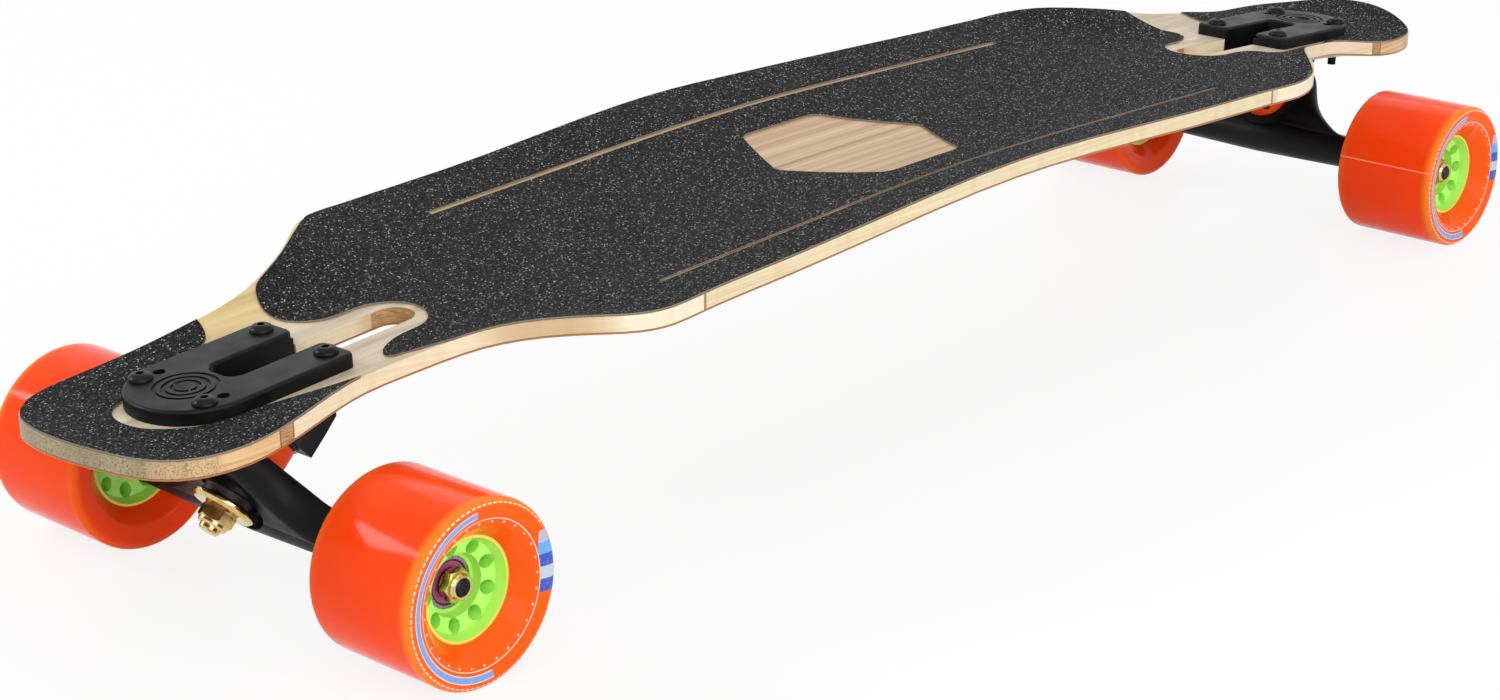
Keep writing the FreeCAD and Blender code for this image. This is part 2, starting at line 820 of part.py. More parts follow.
def make_bushing(frame, height, wide, tip, bore):
    """A bushing that stands on the ring, with softened edges."""
    edge = "Dims.bushing_chamfer"
    profile = [
        (bore, "0"),
        (f"{wide} / 2 - {edge}", "0"),
        (f"{wide} / 2", edge),
        (f"{wide} / 2", "Dims.bushing_straight"),
        (f"{tip} / 2", f"{height} - {edge}"),
        (f"{tip} / 2 - {edge}", height),
        (bore, height),
    ]
    return turned(profile, frame)


def make_cup_washer(bore):
    """The dished washer under the kingpin nut, its lip round the bushing."""
    rim = "Dims.washer_dia / 2"
    lip = f"{rim} - Dims.cup_thick"
    floor = "Dims.cup_lip"
    profile = [
        (bore, floor),
        (f"{lip} - Dims.cup_lip", floor),
        (lip, "0"),
        (rim, "0"),
        (rim, floor),
        (lip, f"{floor} + Dims.cup_thick"),
        (bore, f"{floor} + Dims.cup_thick"),
    ]
    blank = turned(profile, shifted(ROAD, z=road_stack() - dim("cup_thick") - dim("cup_lip")))

    def is_rim(edge):
        return isinstance(edge.Curve, Part.Circle) and abs(edge.Curve.Radius - value(rim)) < TOUCH

    return softened(blank, "cup_round", is_rim)


def stadium(half_width, half_thick, frame):
    """A sketched section with round ends, across its frame's Y axis."""
    sketch = doc.addObject("Sketcher::SketchObject", "section")
    thick = value(half_thick)
    reach = value(half_width) - thick
    left = Part.Circle(Vector(-reach, 0, 0), UP, thick)
    right = Part.Circle(Vector(reach, 0, 0), UP, thick)
    quarter = math.pi / 2
    sketch.addGeometry([
        Part.LineSegment(Vector(-reach, thick, 0), Vector(reach, thick, 0)),
        Part.ArcOfCircle(right, -quarter, quarter),
        Part.LineSegment(Vector(reach, -thick, 0), Vector(-reach, -thick, 0)),
        Part.ArcOfCircle(left, quarter, 3 * quarter),
    ], False)
    for ends in ((0, 2, 1, 2), (2, 1, 1, 1), (2, 2, 3, 2), (0, 1, 3, 1)):
        sketch.addConstraint(Sketcher.Constraint("Tangent", *ends))
    sketch.addConstraint(Sketcher.Constraint("Symmetric", 1, 3, 3, 3, -1, 1))
    sketch.addConstraint(Sketcher.Constraint("PointOnObject", 1, 3, -1))
    radius = sketch.addConstraint(Sketcher.Constraint("Radius", 1, thick))
    span = sketch.addConstraint(Sketcher.Constraint("DistanceX", 3, 3, 1, 3, 2 * reach))
    sketch.setExpression(f"Constraints[{radius}]", half_thick)
    sketch.setExpression(f"Constraints[{span}]", f"2 * (({half_width}) - ({half_thick}))")
    sketch.Placement = frame
    return sketch


# Sections of the hanger's web from the axle up to the pivot: place on the steering axis as a share of the
# pivot's reach, half width as a share of the hanger's, half thickness as a share of the arm's radius, and
# height of its middle above that axis as a share of the rake.
WEB_SECTIONS = (
    (-0.349, 0.733, 0.722, -1.0),
    (-0.244, 0.578, 0.933, -0.9),
    (-0.151, 0.483, 0.956, -0.72),
    (-0.035, 0.400, 0.956, -0.5),
    (0.116, 0.328, 0.933, -0.3),
    (0.326, 0.272, 0.889, -0.12),
    (0.558, 0.200, 0.778, 0.0),
    (0.733, 0.111, 0.667, 0.0),
)


def make_hanger():
    sections = []
    across = Rotation(UP, 90) * Rotation(ALONG, 90)
    for along, wide, thick, lift in WEB_SECTIONS:
        place = shifted(STEER, x=along * dim("pivot_reach"), z=lift * dim("axle_rake"))
        frame = place * Placement(Vector(), across)
        sections.append(stadium(f"{wide} * Dims.hanger_width / 2", f"{thick} * Dims.arm_end_radius", frame))
    web = doc.addObject("Part::Loft", "web")
    web.Sections = sections
    web.Solid = True
    middle = "Dims.hanger_width / 2"
    end = "Dims.arm_end_radius"
    length = "Dims.hanger_width"
    arms = turned([
        ("0", "0"),
        (f"{end} - Dims.arm_chamfer", "0"),
        (end, "Dims.arm_chamfer"),
        (end, "Dims.arm_straight"),
        ("Dims.arm_mid_radius", middle),
        (end, f"{length} - Dims.arm_straight"),
        (end, f"{length} - Dims.arm_chamfer"),
        (f"{end} - Dims.arm_chamfer", length),
        ("0", length),
    ], shifted(AXLE, z=-dim("hanger_width") / 2))
    low = dim("ring_web") / 2 + dim("cup_room_deep")
    high = dim("ring_web") / 2 + dim("board_seat_deep")
    ring = rod(shifted(STEER, z=-low), "Dims.ring_radius", f"{low + high}")
    neck_start = WEB_SECTIONS[-1][0] * dim("pivot_reach") - dim("pivot_radius")
    neck = rod(along_pivot(neck_start), "Dims.pivot_radius", f"Dims.pivot_reach - ({neck_start})")
    tip = primitive("Sphere", along_pivot(dim("pivot_reach")), {"Radius": "Dims.pivot_radius"})
    half_web = dim("ring_web") / 2
    board_seat = rod(shifted(STEER, z=half_web), "Dims.board_seat_dia / 2", DEEP)
    road_seat = rod(shifted(ROAD, z=half_web), "Dims.road_seat_dia / 2", DEEP)
    cup_room = rod(shifted(ROAD, z=low), "Dims.cup_room_dia / 2", DEEP)
    hole = rod(shifted(ROAD, z=-dim("wheel_dia")), "Dims.ring_hole / 2", DEEP)
    bore_start = shifted(AXLE, z=-dim("hanger_width"))
    bore = rod(bore_start, "Dims.axle_dia / 2 + Dims.seat_gap", "2 * Dims.hanger_width")
    return cut(joined(web, arms, ring, neck, tip), board_seat, road_seat, cup_room, hole, bore)


def make_truck():
    bore = "Dims.kingpin_dia / 2 + Dims.seat_gap"
    half_web = dim("ring_web") / 2
    node(make_baseplate(), "rear_baseplate")
    node(make_pivot_cup(), "rear_pivot_cup")
    node(make_kingpin(), "rear_kingpin")
    nut = lock_nut(shifted(ROAD, z=road_stack()), "Dims.kingpin_af", "Dims.kingpin_nut_thick",
                   "Dims.kingpin_nut_collar", bore)
    node(nut, "rear_kingpin_nut")
    node(make_bushing(shifted(STEER, z=half_web), "Dims.board_bushing", "Dims.board_bushing_dia",
                      "Dims.board_bushing_dia", bore), "rear_board_bushing")
    node(make_bushing(shifted(ROAD, z=half_web), "Dims.road_bushing", "Dims.road_bushing_dia",
                      "Dims.road_bushing_tip", bore), "rear_road_bushing")
    node(tube(shifted(STEER, z=half_web + dim("board_bushing")), bore, "Dims.washer_dia / 2",
              "Dims.flat_washer_thick"), "rear_board_washer")
    node(make_cup_washer(bore), "rear_road_washer")
    node(make_hanger(), "rear_hanger")
    make_axle()
    make_mounting()


def make_axle():
    washer = dim("speed_ring_thick")
    first = washer
    spacer = first + dim("bearing_width")
    second = spacer + dim("spacer_length")
    last = second + dim("bearing_width")
    radius = "Dims.axle_dia / 2"
    bevel = "Dims.axle_chamfer"
    nut_end = f"{last + washer} + Dims.axle_nut_thick + Dims.axle_nut_collar"
    length = f"(Dims.hanger_width + 2 * ({nut_end} + Dims.axle_spare))"
    profile = [
        ("0", "0"), (f"{radius} - {bevel}", "0"), (radius, bevel),
        (radius, f"{length} - {bevel}"), (f"{radius} - {bevel}", length), ("0", length),
    ]
    node(turned(profile, shifted(AXLE, z=-value(length) / 2)), "rear_axle")
    bore = f"{radius} + Dims.seat_gap"
    sleeve = inner_ring_radius()
    rings = [tube(shifted(AXLE_LEFT, z=z), bore, sleeve, "Dims.bearing_width") for z in (first, second)]
    washers = [tube(shifted(AXLE_LEFT, z=z), bore, sleeve, "Dims.speed_ring_thick") for z in (0, last)]
    sleeve_mid = tube(shifted(AXLE_LEFT, z=spacer), bore, sleeve, "Dims.spacer_length")
    nut = lock_nut(shifted(AXLE_LEFT, z=last + washer), "Dims.axle_af", "Dims.axle_nut_thick",
                   "Dims.axle_nut_collar", bore)
    both = [part for ring in rings for part in left_and_right(ring)]
    node(group(both), "rear_bearing_inner_rings")
    both = [part for ring in washers for part in left_and_right(ring)]
    node(group(both), "rear_speed_rings")
    node(group(left_and_right(sleeve_mid)), "rear_bearing_spacers")
    node(group(left_and_right(nut)), "rear_axle_nuts")


def inner_ring_radius():
    """Formula for the outside of a bearing's inner ring."""
    return "(Dims.ball_circle - Dims.ball_dia) / 2 - Dims.ball_gap"


# Side of a button head, as shares of its radius and its height.
BUTTON_HEAD = ((1.0, 0.0), (1.0, 0.22), (0.95, 0.45), (0.84, 0.7), (0.68, 0.88), (0.5, 1.0))


def make_mounting():
    """The bolts through plate and deck, and their nuts."""
    bolts = []
    nuts = []
    deck_thick = dim("core_thick") + dim("bond_gap") + dim("laminate_thick")
    under = dim("plate_thick") + 2 * dim("seat_gap") + deck_thick
    shank = "Dims.bolt_dia / 2"
    head = "Dims.bolt_head_dia / 2"
    thick = "Dims.bolt_head_thick"
    for sign in (-1, 1):
        spot = shifted(PLATE, x=sign * dim("bolt_pitch") / 2, y=dim("bolt_gauge") / 2)
        profile = [("0", "-Dims.bolt_length"), (shank, "-Dims.bolt_length"), (shank, "0")]
        profile += [(f"{head} * {wide}", f"{thick} * {high}") for wide, high in BUTTON_HEAD]
        profile.append(("0", thick))
        socket = hexagon(shifted(spot, z=dim("bolt_head_thick") - dim("hex_key_deep")), "Dims.hex_key",
                         "2 * Dims.hex_key_deep")
        bolts += left_and_right(cut(turned(profile, spot), socket))
        seat = shifted(spot, z=-under - dim("bolt_nut_thick"))
        nut = hex_nut(seat, "Dims.bolt_nut_af", "Dims.bolt_nut_thick", f"{shank} + Dims.seat_gap")
        nuts += left_and_right(nut)
    node(group(bolts), "rear_mounting_bolts")
    node(group(nuts), "rear_mounting_nuts")


# Wheel

def wheel_middle():
    """Distance from the hanger's end to the middle of the wheel."""
    bearings = dim("speed_ring_thick") + dim("bearing_width") + dim("spacer_length") / 2
    return bearings + dim("wheel_set")


def make_tyre():
    """The urethane tyre: flat tread, rounded lips and a dished face on each side."""
    half = "Dims.wheel_width / 2"
    rim = "Dims.wheel_dia / 2"
    lip = "Dims.lip_radius"
    bore = "Dims.core_dia / 2"
    inset = f"{half} - Dims.core_inset"
    face = f"{half} - Dims.face_drop"
    side = [
        (bore, inset),
        ("Dims.face_half", face),
        (f"{rim} - {lip} - Dims.lip_flat", half),
        (rim, half),
    ]
    other = [(radius, f"-({height})") for radius, height in reversed(side)]
    blank = turned(side + other, shifted(AXLE_LEFT, z=wheel_middle()))

    def is_circle(edge, radius):
        return isinstance(edge.Curve, Part.Circle) and abs(edge.Curve.Radius - value(radius)) < TOUCH

    lipped = softened(blank, "lip_radius", lambda edge: is_circle(edge, rim))
    return softened(lipped, "face_round", lambda edge: is_circle(edge, "Dims.face_half"))


def make_core():
    """The moulded core: a holed web dished into each side, and a hub with a ridge between its bearings."""
    frame = shifted(AXLE_LEFT, z=wheel_middle())
    half = "Dims.wheel_width / 2 - Dims.core_inset"
    outside = "Dims.core_dia / 2 - Dims.seat_gap"
    inside = f"{outside} - Dims.core_rim"
    web_rim = f"{half} - Dims.web_drop"
    web_hub = f"{web_rim} - Dims.web_fall"
    hub = "Dims.hub_radius"
    seat = "Dims.bearing_dia / 2 + Dims.seat_gap"
    ridge = "Dims.ridge_radius"
    hub_out = "Dims.bearing_width + Dims.spacer_length / 2 - Dims.wheel_set"
    hub_in = "Dims.bearing_width + Dims.spacer_length / 2 + Dims.wheel_set"
    ridge_out = "Dims.spacer_length / 2 - Dims.wheel_set - Dims.seat_gap"
    ridge_in = "Dims.spacer_length / 2 + Dims.wheel_set - Dims.seat_gap"
    profile = [
        (seat, f"-({hub_in})"),
        (hub, f"-({hub_in})"),
        ("Dims.web_inner", f"-({web_hub})"),
        ("Dims.web_radius", f"-({web_rim})"),
        (inside, f"-({half})"),
        (outside, f"-({half})"),
        (outside, half),
        (inside, half),
        ("Dims.web_radius", web_rim),
        ("Dims.web_inner", web_hub),
        (hub, hub_out),
        (seat, hub_out),
        (seat, ridge_out),
        (ridge, ridge_out),
        (ridge, f"-({ridge_in})"),
        (seat, f"-({ridge_in})"),
    ]
    holes = []
    count = int(dim("core_holes"))
    for index in range(count):
        turn = Placement(Vector(), Rotation(UP, 360 * index / count))
        spot = shifted(frame * turn, x=dim("core_hole_circle") / 2, z=-dim("wheel_width"))
        holes.append(rod(spot, "Dims.core_hole_dia / 2", "2 * Dims.wheel_width"))
    return cut(turned(profile, frame), *holes)


def make_wheel():
    """The rear left wheel's nodes: tyre, core and the turning parts of its bearings."""
    outer = "Dims.bearing_dia / 2"
    race = "(Dims.ball_circle + Dims.ball_dia) / 2 + Dims.ball_gap"
    rings = []
    shields = []
    balls = []
    count = int(dim("ball_count"))
    first = dim("speed_ring_thick")
    second = first + dim("bearing_width") + dim("spacer_length")
    shield_in = f"{inner_ring_radius()} + Dims.shield_gap"
    shield_out = f"{race} - Dims.seat_gap"
    for start in (first, second):
        rings.append(tube(shifted(AXLE_LEFT, z=start), race, outer, "Dims.bearing_width"))
        low = start + dim("shield_inset")
        high = start + dim("bearing_width") - dim("shield_inset") - dim("shield_thick")
        for z in (low, high):
            shields.append(tube(shifted(AXLE_LEFT, z=z), shield_in, shield_out, "Dims.shield_thick"))
        for index in range(count):
            turn = Placement(Vector(), Rotation(UP, 360 * index / count))
            middle = shifted(AXLE_LEFT, z=start + dim("bearing_width") / 2)
            spot = shifted(middle * turn, x=dim("ball_circle") / 2)
            balls.append(primitive("Sphere", spot, {"Radius": "Dims.ball_dia / 2"}))
    return {
        "tyre": make_tyre(),
        "core": make_core(),
        "bearing_outer_rings": group(rings),
        "bearing_shields": group(shields),
        "bearing_balls": group(balls),
    }


def place_wheels():
    """The four wheels, each a mirror image of the rear left one."""
    for name, thing in make_wheel().items():
        right = mirrored(thing, ACROSS)
        node(thing, f"rear_left_{name}")
        node(right, f"rear_right_{name}")
        node(mirrored(thing, ALONG), f"front_left_{name}")
        node(mirrored(right, ALONG), f"front_right_{name}")


def copy_truck_to_front():
    """The front truck, a mirror image of the rear one."""
    for thing in [part for part in nodes if part.Label.startswith("rear_")]:
        node(mirrored(thing, ALONG), thing.Label.replace("rear_", "front_", 1))


make_deck()
make_truck()
copy_truck_to_front()
place_wheels()

doc.recompute()

for thing in doc.Objects:
    if "Invalid" in thing.State or "Error" in thing.State:
        raise RuntimeError(f"{thing.Name} ({thing.Label}) failed: {thing.State}")
for thing in nodes:
    if thing.Shape.isNull() or not thing.Shape.isValid():
        raise RuntimeError(f"{thing.Label} has no valid shape")

os.makedirs("parts", exist_ok=True)
for thing in nodes:
    thing.Shape.exportStep(f"parts/{thing.Label}.step")
    print(thing.Label, len(thing.Shape.Solids), round(thing.Shape.Volume, 1))
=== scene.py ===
import math

import bmesh
import bpy
from mathutils import Matrix, Vector
from mathutils.bvhtree import BVHTree


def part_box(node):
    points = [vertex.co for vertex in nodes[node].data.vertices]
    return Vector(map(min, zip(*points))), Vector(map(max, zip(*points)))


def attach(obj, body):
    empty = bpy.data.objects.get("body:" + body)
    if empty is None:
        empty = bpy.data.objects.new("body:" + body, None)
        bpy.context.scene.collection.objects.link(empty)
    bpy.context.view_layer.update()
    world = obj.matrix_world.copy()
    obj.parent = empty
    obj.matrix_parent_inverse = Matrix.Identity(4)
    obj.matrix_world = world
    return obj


# Looks of the longboard: materials for the CAD nodes, printed rings on the wheels, floor, light and camera.
# Everything is in metres in the part's frame: X along the board, nose at -X, Z up, ground at 0.

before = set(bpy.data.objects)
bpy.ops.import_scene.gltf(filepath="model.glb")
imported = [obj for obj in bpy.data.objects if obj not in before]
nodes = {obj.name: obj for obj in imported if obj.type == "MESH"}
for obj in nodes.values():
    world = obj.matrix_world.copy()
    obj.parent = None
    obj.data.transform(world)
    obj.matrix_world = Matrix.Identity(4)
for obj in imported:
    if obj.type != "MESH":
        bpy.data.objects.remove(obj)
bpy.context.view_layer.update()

ENDS = ("front", "rear")
SIDES = ("left", "right")
WHEELS = [(end, side) for end in ENDS for side in SIDES]

MM = 0.001
WHITE = (1.0, 1.0, 1.0, 1.0)

# The sRGB curve: a straight line up to the knee, then a power.
SRGB_KNEE = 0.04045
SRGB_SLOPE = 12.92
SRGB_OFFSET = 0.055
SRGB_POWER = 2.4

# Noise textures: features along a metre (along X, Y and Z where there are three), detail, roughness.
NOISES = {
    "grit_wear": (14.0, 3.0, 0.5),
    "grit_relief": (2400.0, 2.0, 0.5),
    "wood_strips": ((1.2, 150.0, 150.0), 2.0, 0.5),
    "wood_fibres": ((9.0, 900.0, 900.0), 4.0, 0.65),
    "wood_drift": ((5.0, 14.0, 14.0), 2.0, 0.5),
    "edge_strips": ((8.0, 8.0, 900.0), 3.0, 0.5),
    "edge_blotches": ((150.0, 150.0, 14.0), 3.0, 0.5),
    "block_pores": ((260.0, 260.0, 2600.0), 3.0, 0.7),
    "end_pores": (1300.0, 3.0, 0.7),
    "end_patches": ((90.0, 90.0, 8.0), 2.0, 0.5),
    "coat_clouds": (60.0, 4.0, 0.5),
    "metal_grains": (2600.0, 2.0, 0.5),
    "hardware_grains": (1800.0, 2.0, 0.5),
    "plating_bloom": (240.0, 3.0, 0.5),
    "plating_scratches": ((700.0, 700.0, 4200.0), 2.0, 0.5),
    "tool_marks": ((900.0, 5000.0, 900.0), 3.0, 0.5),
    "shield_clouds": (900.0, 2.0, 0.5),
    "moulded_clouds": (80.0, 3.0, 0.5),
    "moulded_skin": (1500.0, 2.0, 0.5),
    "tyre_clouds": (25.0, 3.0, 0.5),
    "tyre_skin": (420.0, 2.0, 0.5),
    "core_clouds": (120.0, 3.0, 0.5),
    "core_skin": (1800.0, 2.0, 0.5),
    "ink_wear": (700.0, 3.0, 0.5),
}
# The middle of a noise's range, over which most looks swing from one state to the other.
NOISE_MIDDLE = (0.3, 0.7)


def linear(text):
    """A colour written as six hex digits, as the shader's linear values with full alpha."""
    channels = [int(text[i:i + 2], 16) / 255 for i in (0, 2, 4)]
    curve = [
        c / SRGB_SLOPE if c <= SRGB_KNEE else ((c + SRGB_OFFSET) / (1 + SRGB_OFFSET)) ** SRGB_POWER
        for c in channels
    ]
    return curve + [1.0]


class Painter:
    """Builds the nodes of one material."""

    def __init__(self, name):
        self.material = bpy.data.materials.new(name)
        self.material.use_nodes = True
        self.tree = self.material.node_tree
        self.shader = self.tree.nodes["Principled BSDF"]
        self.place = self.add("ShaderNodeTexCoord").outputs["Object"]

    def add(self, kind, settings=None, **sockets):
        """A node with its settings and inputs; an input is a value, a hex colour or another node's output."""
        node = self.tree.nodes.new(kind)
        for key, value in (settings or {}).items():
            setattr(node, key, value)
        self.feed(node, sockets)
        return node

    def feed(self, node, sockets):
        """Sets inputs by name, or by number where the name is i and digits."""
        for name, value in sockets.items():
            key = int(name[1:]) if name[0] == "i" and name[1:].isdigit() else name.replace("_", " ")
            if isinstance(value, bpy.types.NodeSocket):
                self.tree.links.new(value, node.inputs[key])
            else:
                node.inputs[key].default_value = linear(value) if isinstance(value, str) else value

    def look(self, **sockets):
        """Sets the shader's inputs."""
        self.feed(self.shader, sockets)

    def math(self, operation, *values):
        """One arithmetic step."""
        sockets = {f"i{index}": value for index, value in enumerate(values)}
        return self.add("ShaderNodeMath", {"operation": operation}, **sockets).outputs[0]

    def distance(self, value, place):
        """How far a value is from a place, to either side."""
        return self.math("ABSOLUTE", self.math("SUBTRACT", value, place))

    def axes(self):
        """The three coordinates of a point of the object."""
        return self.add("ShaderNodeSeparateXYZ", Vector=self.place).outputs

    def noise(self, name):
        """Cloudy noise between 0 and 1."""
        scale, detail, roughness = NOISES[name]
        place = self.place
        if isinstance(scale, tuple):
            place = self.add("ShaderNodeMapping", Vector=place, Scale=scale).outputs[0]
            scale = 1.0
        node = self.add("ShaderNodeTexNoise", Vector=place, Scale=scale, Detail=detail, Roughness=roughness)
        return node.outputs["Fac"]

    def cells(self, scale):
        """Random cells: the distance to the nearest cell's middle, and each cell's own number."""
        node = self.add("ShaderNodeTexVoronoi", Vector=self.place, Scale=scale)
        number = self.add("ShaderNodeSeparateColor", Color=node.outputs["Color"]).outputs[0]
        return node.outputs["Distance"], number

    def ramp(self, value, stops):
        """Colours spread over a value by (place, hex colour) stops."""
        node = self.add("ShaderNodeValToRGB", Fac=value)
        elements = node.color_ramp.elements
        while len(elements) < len(stops):
            elements.new(0.5)
        for element, (place, colour) in zip(elements, stops):
            element.position = place
            element.color = linear(colour)
        return node.outputs["Color"]

    def step(self, value, low, high, start=0.0, end=1.0):
        """A value's soft step from start at low to end at high."""
        settings = {"interpolation_type": "SMOOTHSTEP"}
        node = self.add("ShaderNodeMapRange", settings, Value=value, i1=low, i2=high, i3=start, i4=end)
        return node.outputs[0]

    def swing(self, noise, start=0.0, end=1.0):
        """A noise's soft step over the middle of its range."""
        return self.step(noise, *NOISE_MIDDLE, start, end)

    def upright(self, flat, steep):
        """1 where the surface stands up, 0 where it lies flat, by the Z of its normal at either limit."""
        normal = self.add("ShaderNodeNewGeometry").outputs["Normal"]
        level = self.add("ShaderNodeSeparateXYZ", Vector=normal).outputs[2]
        return self.step(self.math("ABSOLUTE", level), flat, steep)

    def mix(self, share, first, second, blend="MIX"):
        """Two colours mixed by a share."""
        settings = {"data_type": "RGBA", "blend_type": blend}
        return self.add("ShaderNodeMix", settings, i0=share, i6=first, i7=second).outputs[2]

    def bump(self, height, depth):
        """A bumpy normal; depth is in metres."""
        return self.add("ShaderNodeBump", Height=height, Distance=depth, Strength=1.0).outputs[0]


# Grip

# Grains along a metre, and each grain's tone by its random number; the palest few tones are painted glints.
GRIT_CELLS = 1700.0
GRIT_TONES_AND_GLINTS = (
    (0.0, "070707"), (0.35, "151516"), (0.7, "272728"), (0.9, "414142"), (0.97, "6c6c6c"), (0.995, "cacac4"),
)
# Soft steps, as low, high, start, end: the smoother grains that glint, and the film of wear.
GRIT_GLINT = (0.9, 1.0, 0.9, 0.4)
GRIT_WEAR = (0.45, 0.8, 0.0, 0.03)
GRIT_RELIEF = 0.4 * MM
CUT_SLOPE = (0.7, 0.4)


def grip_material():
    """Black grit: each grain has its own dark tone, the palest few painted as glints, a few grains are
    smoother and glint, and the sheet's cut edge is worn pale.
    """
    paint = Painter("grip")
    grain, number = paint.cells(GRIT_CELLS)
    # The grain tones include painted glints: the palest grains are near white.
    colour = paint.mix(paint.upright(*CUT_SLOPE), paint.ramp(number, GRIT_TONES_AND_GLINTS), "94897a")
    colour = paint.mix(paint.step(paint.noise("grit_wear"), *GRIT_WEAR), colour, "8a8781")
    height = paint.math("SUBTRACT", paint.noise("grit_relief"), grain)
    paint.look(
        Base_Color=colour,
        Roughness=paint.step(number, *GRIT_GLINT),
        Normal=paint.bump(height, GRIT_RELIEF),
        Specular_IOR_Level=0.14,
    )
    return paint.material


# Deck

# Streaks of wood, as pale, tan and brown, and where on the strips' noise each is purest.
VENEER_PALE = ("e2d09e", "d6bd86", "ac8b56")
VENEER_GREY = ("dfcfb4", "c2b198", "94826b")
VENEER_WARM = ("cdb392", "b3916d", "775840")
LAMINATE = ("8d6a45", "74532f", "4b321d")
STREAK_STOPS = (0.3, 0.62, 0.85)
# Soft steps, as low, high, start, end, of the slow drift of tone and of the dark fibres.
WOOD_DRIFT = (0.35, 0.75, 0.0, 0.5)
WOOD_FIBRE = (0.52, 0.75, 0.0, 0.3)
# X times Y where a bay's yellowish half gives way to its grey-beige half, and the X where the middle's veneer
# gives way to the bays'.
BAY_HALVES = (-0.016, -0.009)
BAY_START = (0.16, 0.24)

# Along the board: the dark seams where edge strips meet, the blocks let in near the tips, and their widths.
EDGE_SEAMS = (-0.223, 0.218)
SEAM_HALF = 0.6 * MM
SEAM_FADE = 1.6 * SEAM_HALF
SEAM_SHARE = 0.85
END_BLOCKS = (-0.411, 0.411)
BLOCK_HALF = 3.9 * MM
BLOCK_FADE = 0.3 * MM
BLOCK_RIM = 0.8 * MM
BLOCK_PORES = (0.35, 0.65)
# Strips of the edges by noise, and the soft step of the blotches over the pale ones.
EDGE_PALE = ((0.3, "efe3c6"), (0.6, "e4d4b0"), (0.85, "cbb084"))
EDGE_TAN = ((0.3, "e3c99b"), (0.55, "d0af7d"), (0.75, "a67f50"))
EDGE_BLOTCH = (0.45, 0.75, 0.0, 0.4)
# The edge is yellower inside the seams, palest outside them, and duller where it turns into the waist: by X
# where each starts, is full, fades and ends, with the shares of its colour.
PALE_OUT = (0.2225, 0.2235, 0.262, 0.275)
YELLOW_SHARE = 0.22
PALE_SHARE = 0.4
DULL_OUT = (0.262, 0.285, 0.300, 0.325)
DULL_SHARE = 0.75
# Half the width of the slots, and how far out the darker piece at their inner end reaches.
SLOT_HALF = 9.5 * MM
SLOT_FADE = 1.0 * MM
SLOT_BLOCK = 0.3085
SLOT_BLOCK_FADE = 0.5 * MM
# Beyond these the edge is tan, shows its end grain, and turns grey.
TAN_START = 0.411
TAN_FADE = 1.0 * MM
TIP_START = 0.440
TIP_FADE = 8.0 * MM
GREY_START = 0.457
GREY_END = 0.474
END_PATCHES = (0.35, 0.7)
END_PORES = (0.47, 0.63, 0.0, 0.62)

EDGE_SLOPE = (0.75, 0.5)
WOOD_RELIEF = 0.1 * MM
LAMINATE_RELIEF = 0.06 * MM


def wood_colour(paint, tones):
    """Long bamboo strips: streaks along X over a slow drift of tone."""
    _, tan, brown = tones
    fibres = paint.noise("wood_fibres")
    base = paint.ramp(paint.noise("wood_strips"), list(zip(STREAK_STOPS, tones)))
    base = paint.mix(paint.step(paint.noise("wood_drift"), *WOOD_DRIFT), base, tan)
    return paint.mix(paint.step(fibres, *WOOD_FIBRE), base, brown), fibres


def wood_top(paint, x, y):
    """The veneer: yellowish in one half of each bay, grey-beige in the other, browner in the middle."""
    pale, fibres = wood_colour(paint, VENEER_PALE)
    grey, _ = wood_colour(paint, VENEER_GREY)
    warm, _ = wood_colour(paint, VENEER_WARM)
    # One half of each bay is painted grey-beige, the other yellowish.
    half = paint.step(paint.math("MULTIPLY", x, y), *BAY_HALVES)
    bays = paint.step(paint.math("ABSOLUTE", x), *BAY_START)
    return paint.mix(bays, warm, paint.mix(half, pale, grey)), fibres


def wood_strips(paint, out):
    """Laid strips of the edges: pale with soft upright blotches, then tan near the tips."""
    strips = paint.noise("edge_strips")
    blotches = paint.step(paint.noise("edge_blotches"), *EDGE_BLOTCH)
    pale = paint.mix(blotches, paint.ramp(strips, EDGE_PALE), "d2ba92")
    start, full, fade, end = PALE_OUT
    pale = paint.mix(paint.step(out, full, start, 0.0, YELLOW_SHARE), pale, "cfb37c")
    cream = paint.math("MULTIPLY", paint.step(out, start, full), paint.step(out, end, fade, 0.0, PALE_SHARE))
    pale = paint.mix(cream, pale, "f4ecdb")
    start, full, fade, end = DULL_OUT
    dull = paint.math("MULTIPLY", paint.step(out, start, full, 0.0, DULL_SHARE), paint.step(out, end, fade))
    pale = paint.mix(dull, pale, "c3a478")
    return paint.mix(paint.step(out, TAN_START, TAN_START + TAN_FADE), pale, paint.ramp(strips, EDGE_TAN))


def wood_side(paint, x, y, out):
    """Edges: laid strips, with darker pieces at the joints and at the slots' inner ends."""
    colour = wood_strips(paint, out)
    block = paint.mix(paint.step(paint.noise("block_pores"), *BLOCK_PORES), "98744a", "c6a273")
    for place in END_BLOCKS:
        off = paint.distance(x, place)
        colour = paint.mix(paint.step(off, BLOCK_HALF + BLOCK_FADE, BLOCK_HALF), colour, "86643a")
        inside = paint.step(off, BLOCK_HALF - BLOCK_RIM / 2, BLOCK_HALF - BLOCK_RIM)
        colour = paint.mix(inside, colour, block)
    for place in EDGE_SEAMS:
        seam = paint.step(paint.distance(x, place), SEAM_FADE, SEAM_HALF, 0.0, SEAM_SHARE)
        colour = paint.mix(seam, colour, "8a6632")
    in_slot = paint.step(paint.math("ABSOLUTE", y), SLOT_HALF + SLOT_FADE, SLOT_HALF)
    at_end = paint.math("MULTIPLY", in_slot, paint.step(out, SLOT_BLOCK + SLOT_BLOCK_FADE, SLOT_BLOCK))
    return paint.mix(at_end, colour, block)


